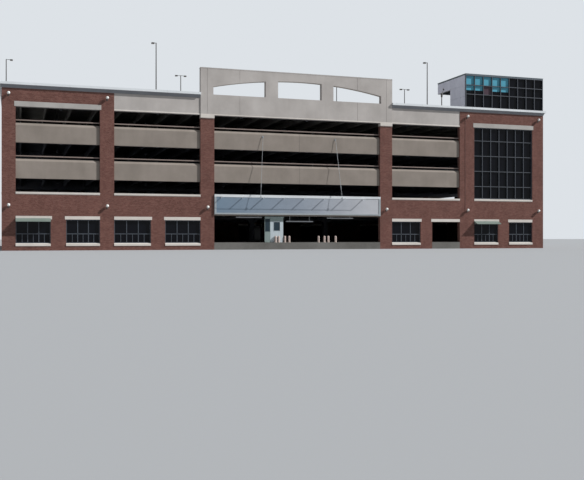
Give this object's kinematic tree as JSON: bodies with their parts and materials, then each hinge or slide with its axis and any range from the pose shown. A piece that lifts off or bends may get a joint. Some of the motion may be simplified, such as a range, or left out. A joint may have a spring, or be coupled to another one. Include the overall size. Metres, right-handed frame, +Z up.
{
  "type": "multi storey car park, 1:2 scale model",
  "caption": "Four-level parking building with brick piers, precast spandrels, an arched screen over the entrance canopy and a glazed roof penthouse.",
  "frame": {"origin": "middle of the overall footprint, at the foot of the walls", "axes": "+X along the front from its left end to its right end, the front faces -Y, +Z up"},
  "size_m": [28.77, 18.77, 9.96],
  "materials": {
    "red_brick": "rough",
    "light_precast": "matte",
    "taupe_precast": "matte",
    "grey_concrete": "matte",
    "cornice_metal": "satin",
    "canopy_metal": "satin",
    "penthouse_metal": "satin",
    "window_metal": "satin",
    "dark_glass": "gloss",
    "rail_metal": "satin",
    "rod_steel": "satin",
    "lamp_metal": "satin",
    "white_globe": "gloss",
    "booth_metal": "satin",
    "booth_glass": "gloss",
    "bollard_paint": "satin",
    "awning_metal": "satin"
  },
  "bodies": {
    "root": {"ground_slab": "grey_concrete", "deck_level_2": "grey_concrete", "deck_level_3": "grey_concrete", "deck_level_4": "grey_concrete", "roof_deck": "grey_concrete", "interior_columns": "grey_concrete", "floor_beams": "grey_concrete", "front_piers": "red_brick", "entrance_columns": "red_brick", "column_caps": "light_precast", "front_base_walls": "red_brick", "brick_heads": "red_brick", "top_bands": "light_precast", "arched_screen": "light_precast", "front_spandrels": "taupe_precast", "front_guard_rails": "rail_metal", "entrance_canopy": "canopy_metal", "canopy_tie_rods": "rod_steel", "entrance_booth": "booth_metal", "booth_screen": "booth_glass", "bollards": "bollard_paint", "left_piers": "red_brick", "left_base_walls": "red_brick", "left_spandrels": "taupe_precast", "right_piers": "red_brick", "right_base_walls": "red_brick", "right_spandrels": "taupe_precast", "back_piers": "red_brick", "back_base_walls": "red_brick", "back_spandrels": "taupe_precast", "guard_sills": "light_precast", "lintels": "light_precast", "window_sills": "light_precast", "cornices": "cornice_metal", "curtain_window_frame": "window_metal", "curtain_window_glass": "dark_glass", "ground_window_frames": "window_metal", "ground_window_glass": "dark_glass", "window_awnings": "awning_metal", "penthouse_walls": "penthouse_metal", "penthouse_roof": "penthouse_metal", "penthouse_window_frame": "window_metal", "penthouse_window_glass": "dark_glass", "wall_lights": "white_globe", "roof_lamps": "lamp_metal"}
  },
  "joints": []
}
